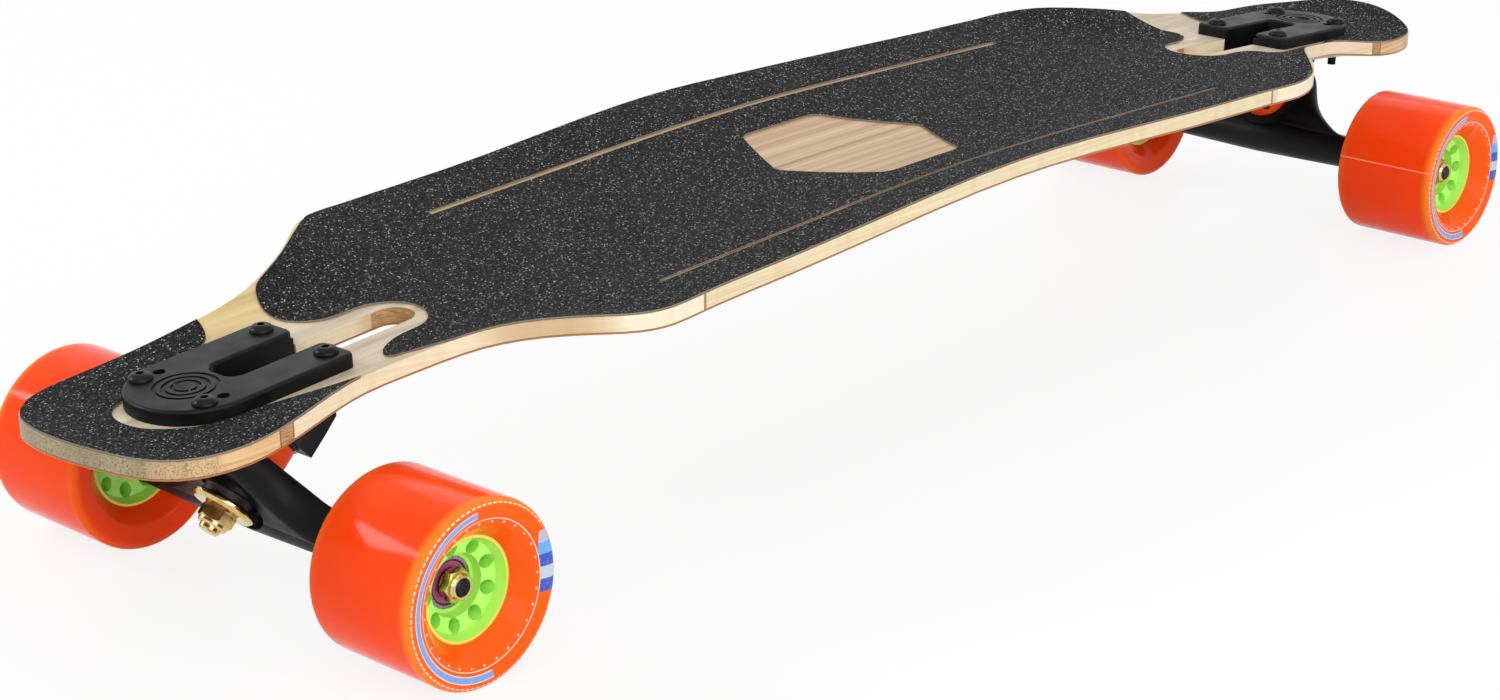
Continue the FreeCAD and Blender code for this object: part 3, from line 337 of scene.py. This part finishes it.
def wood_tip(paint, out):
    """End grain: fine dark pores in wood that runs from tan to grey toward the tip."""
    patches = paint.step(paint.noise("end_patches"), *END_PATCHES)
    tan = paint.mix(patches, "d0b184", "b3926a")
    grey = paint.mix(patches, "a6987a", "8d8063")
    ground = paint.mix(paint.step(out, GREY_START, GREY_END), tan, grey)
    return paint.mix(paint.step(paint.noise("end_pores"), *END_PORES), ground, "544733")


def wood_material():
    """Pale bamboo: streaked veneer on top, strips along the sides, speckled end grain at the tips."""
    paint = Painter("wood")
    x, y, _ = paint.axes()
    out = paint.math("ABSOLUTE", x)
    colour, fibres = wood_top(paint, x, y)
    side = paint.upright(*EDGE_SLOPE)
    colour = paint.mix(side, colour, wood_side(paint, x, y, out))
    tip = paint.math("MULTIPLY", side, paint.step(out, TIP_START, TIP_START + TIP_FADE))
    paint.look(
        Base_Color=paint.mix(tip, colour, wood_tip(paint, out)),
        Roughness=paint.swing(fibres, 0.36, 0.52),
        Normal=paint.bump(fibres, WOOD_RELIEF),
        Specular_IOR_Level=0.25,
    )
    return paint.material


def laminate_material():
    """Clear-coated brown laminate under the deck, paler and redder at its cut edge."""
    paint = Painter("laminate")
    colour, fibres = wood_colour(paint, LAMINATE)
    paint.look(
        Base_Color=paint.mix(paint.upright(*EDGE_SLOPE), colour, "a8713f"),
        Roughness=paint.swing(fibres, 0.24, 0.4),
        Normal=paint.bump(fibres, LAMINATE_RELIEF),
        Specular_IOR_Level=0.3,
        Coat_Weight=0.25,
        Coat_Roughness=0.12,
    )
    return paint.material


# Trucks

COAT_CLOUDS = (0.3, 0.75)
METAL_RELIEF = 0.03 * MM
HARDWARE_RELIEF = 0.01 * MM
STEEL_RELIEF = 0.02 * MM
MOULDED_RELIEF = 0.04 * MM
MOULDED_SPREAD = 0.15
PLATING = ((0.3, "b3924c"), (0.5, "d8c27c"), (0.64, "d9b78e"), (0.78, "c3c184"))


def coated_material(name, tones, roughness, grains, relief):
    """Painted metal with a fine grained coat."""
    paint = Painter(name)
    clouds = paint.noise("coat_clouds")
    paint.look(
        Base_Color=paint.mix(paint.step(clouds, *COAT_CLOUDS), *tones),
        Roughness=paint.swing(clouds, *roughness),
        Normal=paint.bump(paint.noise(grains), relief),
        Specular_IOR_Level=0.15,
    )
    return paint.material


def gold_material():
    """Yellow zinc plating, with its faint pink and green bloom."""
    paint = Painter("gold_steel")
    scratches = paint.noise("plating_scratches")
    paint.look(
        Base_Color=paint.ramp(paint.noise("plating_bloom"), PLATING),
        Metallic=1.0,
        Roughness=paint.swing(scratches, 0.1, 0.24),
        Normal=paint.bump(scratches, STEEL_RELIEF),
    )
    return paint.material


def steel_material(name, tones, roughness):
    """Bare turned steel with rings of tool marks."""
    paint = Painter(name)
    marks = paint.noise("tool_marks")
    paint.look(
        Base_Color=paint.mix(paint.swing(marks), *tones),
        Metallic=1.0,
        Roughness=paint.swing(marks, *roughness),
        Normal=paint.bump(marks, STEEL_RELIEF),
    )
    return paint.material


def moulded_material(name, tones, roughness, gloss):
    """Moulded plastic or rubber with a faint cloudiness."""
    paint = Painter(name)
    skin = paint.noise("moulded_skin")
    smooth, rough = roughness * (1 - MOULDED_SPREAD), roughness * (1 + MOULDED_SPREAD)
    paint.look(
        Base_Color=paint.mix(paint.swing(paint.noise("moulded_clouds")), *tones),
        Roughness=paint.swing(skin, smooth, rough),
        Normal=paint.bump(skin, MOULDED_RELIEF),
        Specular_IOR_Level=gloss,
    )
    return paint.material


# Wheels

# Radii between which a bearing's shield lies, and its tint over them: a dark groove, plain, a dull line.
SHIELD_INNER = 5.6 * MM
SHIELD_OUTER = 10.0 * MM
SHIELD_RINGS = ((0.0, "3a1426"), (0.08, "ffffff"), (0.78, "ffffff"), (0.84, "5a3444"))
# The lip's paler tint is painted light, the glow through its thin urethane: by how far in from the tread and
# from the face it starts and is full. It is fainter inboard, where shade is painted.
LIP_RIM = (4.2 * MM, 1.0 * MM)
LIP_FACE = (6.5 * MM, 1.5 * MM)
LIP_GLOW_INBOARD = 0.35
# The outer half, which alone gets the painted light of the paler face, by how far out of the middle it is
# full; the face, by how far in from the tread it starts.
OUTER_HALF = 5.0 * MM
FACE_RIM = (2.0 * MM, 4.5 * MM)
# Angle of each tyre's thin pale line along the tread at rest, about its axle from +X up, in degrees; its half
# width and depth.
PALE_LINE_ANGLES = {"front_left": -50.0, "front_right": -50.0, "rear_left": -50.0, "rear_right": 165.5}
PALE_LINE_HALF = (0.5 * MM, 0.25 * MM)
PALE_LINE_DEPTH = (1.2 * MM, 0.8 * MM)
PALE_LINE_SHARE = 0.55
# The core's yellow rim, by how far in from its own edge it starts and is full.
CORE_RIM = (1.3 * MM, 0.8 * MM)

SHIELD_RELIEF = 0.02 * MM
TYRE_RELIEF = 0.01 * MM
CORE_RELIEF = 0.02 * MM
# How far red, green and blue light travels inside, in metres.
TYRE_DEPTH = (0.02, 0.002, 0.0004)
CORE_DEPTH = (0.002, 0.003, 0.0008)


def outward_sign(side):
    """Which way along Y a wheel's outer face looks."""
    return 1.0 if side == "left" else -1.0


def tyre_size(end, side):
    """A tyre's middle, its radius and half its width."""
    low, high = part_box(f"{end}_{side}_tyre")
    return (low + high) / 2, (high.z - low.z) / 2, (high.y - low.y) / 2


def beside_axle(paint, end, side):
    """How far a point is across a wheel's axle along X, and above it."""
    centre, _, _ = tyre_size(end, side)
    x, _, z = paint.axes()
    return paint.math("SUBTRACT", x, centre.x), paint.math("SUBTRACT", z, centre.z)


def from_axle(paint, end, side):
    """Distance from a wheel's axle."""
    across, up = beside_axle(paint, end, side)
    squares = paint.math("ADD", paint.math("MULTIPLY", across, across), paint.math("MULTIPLY", up, up))
    return paint.math("SQRT", squares)


def off_middle(paint, end, side):
    """Distance outward from a wheel's middle plane."""
    centre, _, _ = tyre_size(end, side)
    _, y, _ = paint.axes()
    return paint.math("MULTIPLY", paint.math("SUBTRACT", y, centre.y), outward_sign(side))


def pale_tread_line(paint, end, side):
    """1 on a thin line along the tread, 0 elsewhere."""
    _, rim, _ = tyre_size(end, side)
    across, up = beside_axle(paint, end, side)
    angle = math.radians(PALE_LINE_ANGLES[f"{end}_{side}"])
    cosine, sine = math.cos(angle), math.sin(angle)
    along = paint.math("ADD", paint.math("MULTIPLY", across, cosine), paint.math("MULTIPLY", up, sine))
    aside = paint.math("SUBTRACT", paint.math("MULTIPLY", up, cosine), paint.math("MULTIPLY", across, sine))
    line = paint.step(paint.math("ABSOLUTE", aside), *PALE_LINE_HALF)
    return paint.math("MULTIPLY", line, paint.step(along, *(rim - depth for depth in PALE_LINE_DEPTH)))


def tyre_material(end, side):
    """Glossy, slightly clear orange urethane with painted light: it pales toward its lit outer face and its
    glowing lips.
    """
    _, rim, half = tyre_size(end, side)
    paint = Painter(f"urethane_{end}_{side}")
    radius = from_axle(paint, end, side)
    out = off_middle(paint, end, side)
    near_rim = paint.step(radius, *(rim - depth for depth in LIP_RIM))
    near_face = paint.step(paint.math("ABSOLUTE", out), *(half - depth for depth in LIP_FACE))
    outer = paint.step(out, 0.0, OUTER_HALF)
    fainter = paint.step(outer, 0.0, 1.0, LIP_GLOW_INBOARD, 1.0)
    lip_glow = paint.math("MULTIPLY", fainter, paint.math("MULTIPLY", near_rim, near_face))
    face = paint.math("MULTIPLY", outer, paint.step(radius, *(rim - depth for depth in FACE_RIM)))
    colour = paint.mix(paint.swing(paint.noise("tyre_clouds")), "ff440f", "ff4c14")
    # Painted light: the outer face is paler orange as lit, and the lips are paler still as glowing; the inner
    # faces keep the red of shade.
    colour = paint.mix(face, colour, "ff6013")
    colour = paint.mix(lip_glow, colour, "ff8026")
    # A thin pale line is painted along the tread.
    line = paint.math("MULTIPLY", pale_tread_line(paint, end, side), PALE_LINE_SHARE)
    skin = paint.noise("tyre_skin")
    paint.look(
        Base_Color=paint.mix(line, colour, "ffb48c"),
        Roughness=paint.swing(skin, 0.06, 0.14),
        Normal=paint.bump(skin, TYRE_RELIEF),
        Specular_IOR_Level=0.08,
        Subsurface_Weight=0.5,
        Subsurface_Radius=TYRE_DEPTH,
        Subsurface_Scale=1.0,
    )
    return paint.material


def core_material(end, side):
    """Lime plastic with a yellow line where the tyre's urethane thins over its rim."""
    low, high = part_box(f"{end}_{side}_core")
    rim = (high.z - low.z) / 2
    paint = Painter(f"core_{end}_{side}")
    line = paint.step(from_axle(paint, end, side), *(rim - depth for depth in CORE_RIM))
    skin = paint.noise("core_skin")
    lime = paint.mix(paint.noise("core_clouds"), "a4f054", "b8fa74")
    paint.look(
        Base_Color=paint.mix(line, lime, "f6dc4a"),
        Roughness=paint.swing(skin, 0.3, 0.42),
        Normal=paint.bump(skin, CORE_RELIEF),
        Subsurface_Weight=0.15,
        Subsurface_Radius=CORE_DEPTH,
        Subsurface_Scale=1.0,
    )
    return paint.material


def shield_material(end, side):
    """Magenta bearing shields with a dark groove and a dull line round them."""
    paint = Painter(f"shield_{end}_{side}")
    clouds = paint.noise("shield_clouds")
    body = paint.mix(clouds, "98386a", "b4558a")
    rings = paint.ramp(paint.step(from_axle(paint, end, side), SHIELD_INNER, SHIELD_OUTER), SHIELD_RINGS)
    paint.look(
        Base_Color=paint.mix(1.0, body, rings, "MULTIPLY"),
        Metallic=0.35,
        Roughness=paint.swing(clouds, 0.3, 0.44),
        Normal=paint.bump(clouds, SHIELD_RELIEF),
    )
    return paint.material


# Dressing the CAD nodes

WELD_DISTANCE = 1e-6
CREASE_ANGLE = math.radians(28)


def smooth_faces(thing):
    """Soft shading over rounded faces, with creases kept."""
    thing.data.shade_smooth()
    weld = thing.modifiers.new("weld", "WELD")
    weld.merge_threshold = WELD_DISTANCE
    split = thing.modifiers.new("creases", "EDGE_SPLIT")
    split.split_angle = CREASE_ANGLE


def dress(name, material):
    """Gives a CAD node its material."""
    thing = nodes[name]
    thing.data.materials.clear()
    thing.data.materials.append(material)
    smooth_faces(thing)


def dress_board():
    """The deck and its grip."""
    grip = grip_material()
    for piece in ("nose", "main", "tail"):
        dress(f"grip_{piece}", grip)
    dress("deck_core", wood_material())
    dress("deck_base", laminate_material())


def dress_trucks(steel):
    """All that doesn't turn with a wheel."""
    black = coated_material(
        "black_metal", ("0c0c0d", "141416"), roughness=(0.36, 0.5), grains="metal_grains", relief=METAL_RELIEF
    )
    hardware = coated_material(
        "black_hardware", ("0a0a0a", "161617"), roughness=(0.22, 0.36), grains="hardware_grains",
        relief=HARDWARE_RELIEF,
    )
    gold = gold_material()
    axle = steel_material("dark_steel", ("1a1a1c", "3a393b"), roughness=(0.28, 0.45))
    soft = moulded_material("soft_bushing", ("f0481a", "f85822"), roughness=0.35, gloss=0.06)
    firm = moulded_material("firm_bushing", ("1d1315", "2b1b1e"), roughness=0.34, gloss=0.35)
    plastic = moulded_material("cup_plastic", ("121212", "1c1c1d"), roughness=0.5, gloss=0.5)
    looks = {
        "baseplate": black, "hanger": black, "board_washer": hardware, "mounting_bolts": hardware,
        "mounting_nuts": hardware, "kingpin": gold, "kingpin_nut": gold, "road_washer": gold,
        "axle_nuts": gold, "axle": axle, "bearing_inner_rings": steel, "speed_rings": steel,
        "bearing_spacers": steel, "board_bushing": soft, "road_bushing": firm, "pivot_cup": plastic,
    }
    for end in ENDS:
        for name, material in looks.items():
            dress(f"{end}_{name}", material)


def dress_wheels(steel):
    """Tyres, cores and what turns in the bearings."""
    ring = steel_material("ring_steel", ("7d7478", "a39a9e"), roughness=(0.24, 0.38))
    for end, side in WHEELS:
        dress(f"{end}_{side}_tyre", tyre_material(end, side))
        dress(f"{end}_{side}_core", core_material(end, side))
        dress(f"{end}_{side}_bearing_outer_rings", ring)
        dress(f"{end}_{side}_bearing_balls", steel)
        dress(f"{end}_{side}_bearing_shields", shield_material(end, side))


# Printing on the wheels: rings on each outer face, by radius (mm) and angle (degrees, up from +X).

INK_LIFT = 0.04 * MM
INK_WELD = 1e-7
INK_WEAR = (0.5, 0.85, 0.0, 0.3)
# How far outside a wheel's middle the search for its face starts.
RAY_START = 0.1
DASH_RADIUS = 38.1
DASH_COUNT = 84
DASH_WIDTH = 0.48
DASH_SHARE = 0.6
BAND_RADIUS = 34.6
BAND_WIDTH = 2.3
BAND_EDGE = 0.45
BAND_ANGLES = (93.0, 276.0)
LINE_RADIUS = 31.5
LINE_WIDTH = 0.32
DOT_RADIUS = 30.2
DOT_COUNT = 28
DOT_WIDTH = 0.6
DOT_HALF_ANGLE = 0.9
STRIPE_LEFT = 30.6
STRIPE_OUTER = 38.6
STRIPE_TOP = 18.0
STRIPE_HEIGHT = 5.4
STRIPE_INKS = ("grey", "sky", "blue", "pale", "blue")
STRIPE_ROWS = 4
STRIPE_COLUMNS = 8
ARC_STEP = 2.0
INKS = {
    "white": "f8e8dc", "band": "74a0dc", "rim": "d9cfe0", "sky": "63a6ea", "pale": "b9c9da", "blue": "3159bd",
    "grey": "b4b4cc",
}


def print_material(name, colour):
    """Printing ink on urethane, thin in places, where the orange shows through."""
    paint = Painter(name)
    wear = paint.noise("ink_wear")
    paint.look(
        Base_Color=paint.mix(paint.step(wear, *INK_WEAR), colour, "ff8a5a"),
        Roughness=paint.swing(wear, 0.22, 0.36),
        Specular_IOR_Level=0.3,
    )
    return paint.material


class WheelPrint:
    """Collects flat patches of ink laid on one wheel's outer face."""

    def __init__(self, end, side):
        self.name = f"{end}_{side}_print"
        self.tyre = nodes[f"{end}_{side}_tyre"]
        low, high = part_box(self.tyre.name)
        self.centre = (low + high) / 2
        self.outward = Vector((0, outward_sign(side), 0))
        mesh = self.tyre.data
        places = [tuple(vertex.co) for vertex in mesh.vertices]
        self.tree = BVHTree.FromPolygons(places, [tuple(face.vertices) for face in mesh.polygons])
        self.shape = bmesh.new()
        self.inks = list(INKS)

    def point(self, across, up):
        """A vertex of the face at a place in millimetres from the axle."""
        start = self.centre + Vector((across, 0, up)) * MM + self.outward * RAY_START
        hit, normal, _, _ = self.tree.ray_cast(start, -self.outward)
        if hit is None:
            raise RuntimeError(f"{self.name}: no face at {across}, {up}")
        if normal.dot(self.outward) < 0:
            normal = -normal
        return self.shape.verts.new(hit + normal * INK_LIFT)

    def patch(self, rows, ink):
        """A strip of ink between rows of (across, up) places."""
        grid = [[self.point(*place) for place in row] for row in rows]
        for first, second in zip(grid, grid[1:]):
            for ring in zip(first, first[1:], second[1:], second):
                face = self.shape.faces.new(ring)
                face.material_index = self.inks.index(ink)

    def arc(self, radius, width, start, end, ink):
        """A band of a circle from one angle to another."""
        count = max(2, round(abs(end - start) / ARC_STEP))
        angles = [math.radians(start + (end - start) * index / count) for index in range(count + 1)]
        rows = []
        for share in (-0.5, 0.5):
            reach = radius + share * width
            rows.append([(reach * math.cos(angle), reach * math.sin(angle)) for angle in angles])
        self.patch(rows, ink)

    def stripes(self):
        """A block of level stripes at the trailing side, cut off by two circles."""
        inner = LINE_RADIUS + LINE_WIDTH
        for index, ink in enumerate(STRIPE_INKS):
            rows = []
            for row in range(STRIPE_ROWS + 1):
                up = STRIPE_TOP - STRIPE_HEIGHT * (index + row / STRIPE_ROWS)
                right = math.sqrt(STRIPE_OUTER ** 2 - up ** 2)
                left = max(STRIPE_LEFT, math.sqrt(max(0.0, inner ** 2 - up ** 2)))
                steps = [step / STRIPE_COLUMNS for step in range(STRIPE_COLUMNS + 1)]
                rows.append([(left + (right - left) * share, up) for share in steps])
            self.patch(rows, ink)

    def dashes(self):
        """A broken ring near the lip, left open where the stripes are."""
        dash = 360 / DASH_COUNT
        bottom = STRIPE_TOP - len(STRIPE_INKS) * STRIPE_HEIGHT
        stripe_low = math.degrees(math.atan2(bottom, STRIPE_OUTER)) - dash
        stripe_high = math.degrees(math.atan2(STRIPE_TOP, STRIPE_LEFT)) + dash
        for index in range(DASH_COUNT):
            start = index * dash
            middle = (start + dash / 2 + 180) % 360 - 180
            if not stripe_low < middle < stripe_high:
                self.arc(DASH_RADIUS, DASH_WIDTH, start, start + dash * DASH_SHARE, "white")

    def band(self):
        """A broad blue band with a pale rim on each side."""
        self.arc(BAND_RADIUS, BAND_WIDTH, *BAND_ANGLES, "band")
        for sign in (-1, 1):
            rim = BAND_RADIUS + sign * (BAND_WIDTH + BAND_EDGE) / 2
            self.arc(rim, BAND_EDGE, *BAND_ANGLES, "rim")

    def dotted_line(self):
        """A thin ring with dots inside it."""
        self.arc(LINE_RADIUS, LINE_WIDTH, 0, 360, "white")
        for index in range(DOT_COUNT):
            middle = index * 360 / DOT_COUNT
            self.arc(DOT_RADIUS, DOT_WIDTH, middle - DOT_HALF_ANGLE, middle + DOT_HALF_ANGLE, "white")

    def finish(self, materials, body):
        """Turns the patches into an object that rides on the wheel."""
        bmesh.ops.remove_doubles(self.shape, verts=self.shape.verts, dist=INK_WELD)
        bmesh.ops.recalc_face_normals(self.shape, faces=self.shape.faces)
        for face in self.shape.faces:
            if face.normal.dot(self.outward) < 0:
                face.normal_flip()
        mesh = bpy.data.meshes.new(self.name)
        self.shape.to_mesh(mesh)
        self.shape.free()
        for ink in self.inks:
            mesh.materials.append(materials[ink])
        thing = bpy.data.objects.new(self.name, mesh)
        bpy.context.scene.collection.objects.link(thing)
        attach(thing, body)


def print_wheels():
    """The same print on every wheel."""
    materials = {ink: print_material(f"ink_{ink}", colour) for ink, colour in INKS.items()}
    for end, side in WHEELS:
        ink_print = WheelPrint(end, side)
        ink_print.dashes()
        ink_print.band()
        ink_print.dotted_line()
        ink_print.stripes()
        ink_print.finish(materials, f"{end}_{side}_wheel")


# Studio

# Share of the floor's look that is plain white; the rest is lit and shaded.
FLOOR_GLOW = 0.85
FLOOR_HALF = 12.0
FLOOR_COLOUR = (0.92, 0.92, 0.92, 1.0)
# Strength with which the white surroundings light the board.
WORLD_LIGHT = 0.62

# Soft boxes: name, place, point they face, size, watts
LAMPS = (
    ("key", (-0.4, -0.4, 1.9), (0.0, 0.0, 0.1), (2.2, 1.4), 5.0),
    ("front", (-0.8, -2.0, 1.0), (0.1, 0.0, 0.05), (3.2, 1.1), 30.0),
    ("left", (-2.13, 2.92, 2.19), (-0.41, 0.0, 0.06), (1.2, 0.85), 46.0),
    ("back", (1.4, 1.3, 1.5), (0.1, 0.0, 0.1), (1.6, 0.8), 5.0),
)

# Camera, solved from the photograph
EYE = Vector((-1.1207, -0.93687, 0.53509))
LOOK = Vector((0.70044, 0.62736, -0.34029))
ROLL = math.radians(-0.1)
LENS = 72.99
SENSOR = 36.0
NEAR_CLIP = 0.01


def seen_rays(tree):
    """1 on rays from the camera, in reflections and through clear things, 0 on the others."""
    path = tree.nodes.new("ShaderNodeLightPath").outputs
    total = path["Is Camera Ray"]
    for name in ("Is Glossy Ray", "Is Transmission Ray"):
        step = tree.nodes.new("ShaderNodeMath")
        step.operation = "MAXIMUM"
        tree.links.new(total, step.inputs[0])
        tree.links.new(path[name], step.inputs[1])
        total = step.outputs[0]
    return total


def floor_material():
    """White from above with the object's shadow on it, and clear from below."""
    paint = Painter("floor")
    paint.look(Base_Color=FLOOR_COLOUR, Roughness=0.35, Specular_IOR_Level=0.4)
    glow = paint.add("ShaderNodeEmission", Color=WHITE, Strength=1.0).outputs[0]
    share = paint.math("MULTIPLY", seen_rays(paint.tree), FLOOR_GLOW)
    top = paint.add("ShaderNodeMixShader", i0=share, i1=paint.shader.outputs[0], i2=glow).outputs[0]
    below = paint.add("ShaderNodeNewGeometry").outputs["Backfacing"]
    clear = paint.add("ShaderNodeBsdfTransparent").outputs[0]
    mixed = paint.add("ShaderNodeMixShader", i0=below, i1=top, i2=clear).outputs[0]
    paint.tree.links.new(mixed, paint.tree.nodes["Material Output"].inputs["Surface"])
    return paint.material


def make_floor():
    """A wide pale floor."""
    mesh = bpy.data.meshes.new("floor")
    half = FLOOR_HALF
    ring = [(-half, -half, 0), (half, -half, 0), (half, half, 0), (-half, half, 0)]
    mesh.from_pydata(ring, [], [(0, 1, 2, 3)])
    mesh.materials.append(floor_material())
    floor = bpy.data.objects.new("floor", mesh)
    bpy.context.scene.collection.objects.link(floor)


def make_world():
    """Even white surroundings, which light less than they show."""
    world = bpy.data.worlds.new("studio")
    bpy.context.scene.world = world
    world.use_nodes = True
    tree = world.node_tree
    background = tree.nodes["Background"]
    background.inputs["Color"].default_value = WHITE
    strength = tree.nodes.new("ShaderNodeMapRange")
    strength.inputs["To Min"].default_value = WORLD_LIGHT
    strength.inputs["To Max"].default_value = 1.0
    tree.links.new(seen_rays(tree), strength.inputs["Value"])
    tree.links.new(strength.outputs[0], background.inputs["Strength"])


def make_lamps():
    """Soft boxes round the board."""
    for name, place, target, size, watts in LAMPS:
        data = bpy.data.lights.new(name, "AREA")
        data.shape = "RECTANGLE"
        data.size, data.size_y = size
        data.energy = watts
        lamp = bpy.data.objects.new(name, data)
        lamp.location = place
        aim = Vector(target) - Vector(place)
        lamp.rotation_euler = aim.to_track_quat("-Z", "Y").to_euler()
        bpy.context.scene.collection.objects.link(lamp)


def make_camera():
    """The photograph's view."""
    data = bpy.data.cameras.new("camera")
    data.sensor_fit = "HORIZONTAL"
    data.sensor_width = SENSOR
    data.lens = LENS
    data.clip_start = NEAR_CLIP
    camera = bpy.data.objects.new("camera", data)
    turn = LOOK.to_track_quat("-Z", "Y").to_matrix().to_4x4()
    camera.matrix_world = Matrix.Translation(EYE) @ turn @ Matrix.Rotation(ROLL, 4, "Z")
    bpy.context.scene.collection.objects.link(camera)
    bpy.context.scene.camera = camera


bright_steel = steel_material("steel", ("a9abae", "d5d6d8"), roughness=(0.18, 0.32))
dress_board()
dress_trucks(bright_steel)
dress_wheels(bright_steel)
print_wheels()
make_floor()
make_world()
make_lamps()
make_camera()
bpy.context.scene.view_settings.view_transform = "Standard"
